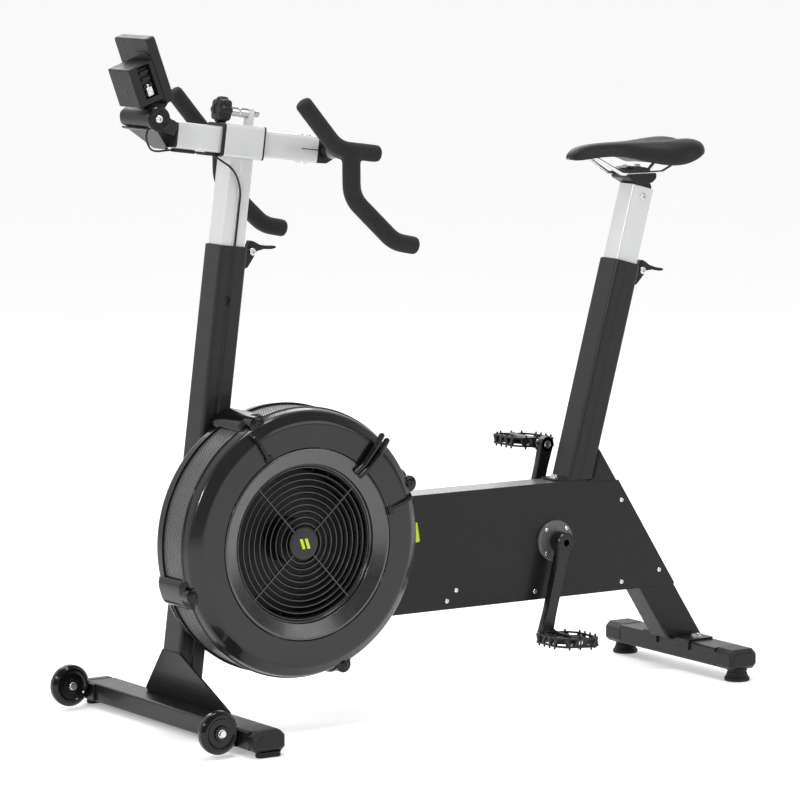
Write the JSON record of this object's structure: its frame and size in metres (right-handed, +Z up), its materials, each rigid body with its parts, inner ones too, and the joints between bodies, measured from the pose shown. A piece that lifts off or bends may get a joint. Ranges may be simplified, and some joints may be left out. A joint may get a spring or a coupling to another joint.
{
  "type": "air bike",
  "caption": "Air-braked exercise bike with a side-mounted fan housing, sliding posts, road-style handlebar, tilting monitor and transport wheels.",
  "frame": {"origin": "centre of the base box, on the floor", "axes": "+X towards the front wheels, +Y to the rider's left (the fan side), +Z up"},
  "size_m": [1.2471, 0.608, 1.2102],
  "materials": {
    "frame_black": "satin black powder coat",
    "rail_silver": "satin anodised extrusion",
    "post_silver": "bead-blasted clear anodised",
    "housing_black": "gloss black moulding",
    "plastic_black": "fine-textured black moulding",
    "mesh_grey": "dark grey perforated steel",
    "fan_grey": "dark coated fan wheel",
    "grille_black": "black moulded grille",
    "badge_grey": "dark badge with a plain lime mark",
    "steel": "zinc-plated steel",
    "crank_black": "black coated forged alloy",
    "cover_grey": "grey painted disc",
    "pedal_black": "black coated cast pedal",
    "belt_rubber": "ribbed rubber belt",
    "rubber": "black rubber",
    "wheel_black": "polished black polyurethane",
    "foam": "closed-cell foam grip",
    "saddle_cover": "stretched matt vinyl cover over foam",
    "screen": "monitor window",
    "lead_black": "thin black lead"
  },
  "bodies": {
    "frame": {"front_crossbar": "frame_black", "rear_crossbar": "frame_black", "end_caps": "plastic_black", "floor_feet": "rubber", "front_post": "frame_black", "post_gusset": "frame_black", "post_liners": "plastic_black", "main_rail": "rail_silver", "left_side_panel": "frame_black", "right_side_panel": "frame_black", "seat_tube": "frame_black", "rear_leg": "frame_black", "frame_brackets": "frame_black", "frame_screws": "steel", "crank_covers": "cover_grey", "shaft_bearings": "steel", "drive_belts": "belt_rubber", "far_housing": "housing_black", "near_housing": "housing_black", "mesh_band": "mesh_grey", "housing_clips": "housing_black", "grille": "grille_black", "grille_badge": "badge_grey"},
    "crank": {"crank_spindle": "steel", "crank_arms": "crank_black"},
    "left_pedal": {"left_pedal": "pedal_black"},
    "right_pedal": {"right_pedal": "pedal_black"},
    "jackshaft": {"jackshaft": "steel"},
    "flywheel": {"fan_wheel": "fan_grey", "flywheel_shaft": "steel"},
    "damper": {"damper_ring": "housing_black"},
    "left_wheel": {"left_wheel": "wheel_black"},
    "right_wheel": {"right_wheel": "wheel_black"},
    "front_lever": {"front_clamp_lever": "plastic_black"},
    "rear_lever": {"rear_clamp_lever": "plastic_black"},
    "column": {"handlebar_post": "post_silver", "stem_sleeve": "post_silver", "sleeve_liner": "plastic_black", "lower_lead": "lead_black"},
    "clamp_knob": {"clamp_knob": "plastic_black", "clamp_barrel": "steel"},
    "stem": {"stem_tube": "post_silver", "stem_clamp": "frame_black", "stem_fittings": "steel", "handlebar": "frame_black", "left_grips": "foam", "right_grips": "foam", "monitor_bracket": "frame_black", "upper_lead": "lead_black"},
    "monitor": {"monitor_case": "plastic_black", "monitor_screen": "screen", "battery_box": "plastic_black", "monitor_mount": "plastic_black", "tilt_knob": "plastic_black"},
    "seat_post": {"seat_post": "post_silver", "seat_post_head": "frame_black"},
    "rail_clamp": {"rail_clamp": "frame_black"},
    "saddle": {"saddle_rails": "steel", "saddle_base": "plastic_black", "saddle_pad": "saddle_cover"}
  },
  "joints": [
    {"name": "crank_spin", "type": "hinge", "parent": "frame", "child": "crank", "pos_m": [-0.28072, 0, 0.269], "axis": [0, 1, 0], "continuous": true},
    {"name": "left_pedal_spin", "type": "hinge", "parent": "crank", "child": "left_pedal", "pos_m": [-0.2393, 0.129, 0.10412], "axis": [0, 1, 0], "continuous": true},
    {"name": "right_pedal_spin", "type": "hinge", "parent": "crank", "child": "right_pedal", "pos_m": [-0.32214, -0.129, 0.43388], "axis": [0, 1, 0], "continuous": true},
    {"name": "jackshaft_spin", "type": "hinge", "parent": "frame", "child": "jackshaft", "pos_m": [-0.03072, 0, 0.285], "axis": [0, 1, 0], "continuous": true},
    {"name": "flywheel_spin", "type": "hinge", "parent": "frame", "child": "flywheel", "pos_m": [0.33328, 0, 0.3315], "axis": [0, 1, 0], "continuous": true},
    {"name": "damper_turn", "type": "hinge", "parent": "frame", "child": "damper", "pos_m": [0.33328, 0, 0.3315], "axis": [0, 1, 0], "range_deg": [-25, 61]},
    {"name": "left_wheel_roll", "type": "hinge", "parent": "frame", "child": "left_wheel", "pos_m": [0.57428, 0.2565, 0.044], "axis": [0, 1, 0], "continuous": true},
    {"name": "right_wheel_roll", "type": "hinge", "parent": "frame", "child": "right_wheel", "pos_m": [0.57428, -0.2565, 0.044], "axis": [0, 1, 0], "continuous": true},
    {"name": "handlebar_height", "type": "slide", "parent": "frame", "child": "column", "axis": [-0.1265, 0, 0.992], "range_m": [-0.13, 0.06], "deforming": ["lower_lead"]},
    {"name": "knob_turn", "type": "hinge", "parent": "column", "child": "clamp_knob", "pos_m": [0.40489, 0, 1.07622], "axis": [0.992, 0, 0.1265], "range_deg": [-330, 0]},
    {"name": "stem_reach", "type": "slide", "parent": "column", "child": "stem", "axis": [0.992, 0, 0.1265], "range_m": [-0.048, 0.085], "deforming": ["upper_lead"]},
    {"name": "monitor_tilt", "type": "hinge", "parent": "stem", "child": "monitor", "pos_m": [0.56628, 0, 1.0684], "axis": [0, 1, 0], "range_deg": [-15, 35]},
    {"name": "front_lever_turn", "type": "hinge", "parent": "frame", "child": "front_lever", "pos_m": [0.35282, 0, 0.82854], "axis": [0, 1, 0], "range_deg": [-60, 0]},
    {"name": "seat_height", "type": "slide", "parent": "frame", "child": "seat_post", "axis": [-0.2605, 0, 0.9655], "range_m": [-0.11, 0.07]},
    {"name": "rear_lever_turn", "type": "hinge", "parent": "frame", "child": "rear_lever", "pos_m": [-0.49033, 0, 0.7527], "axis": [0, 1, 0], "range_deg": [-60, 0]},
    {"name": "saddle_tilt", "type": "hinge", "parent": "seat_post", "child": "rail_clamp", "pos_m": [-0.47072, 0, 0.918], "axis": [0, 1, 0], "range_deg": [-6, 6]},
    {"name": "saddle_reach", "type": "slide", "parent": "rail_clamp", "child": "saddle", "axis": [1, 0, 0], "range_m": [-0.01, 0.01]}
  ],
  "couplings": [
    {"joint": "jackshaft_spin", "follows": "crank_spin", "ratio": 3.52},
    {"joint": "flywheel_spin", "follows": "crank_spin", "ratio": 12.672}
  ]
}
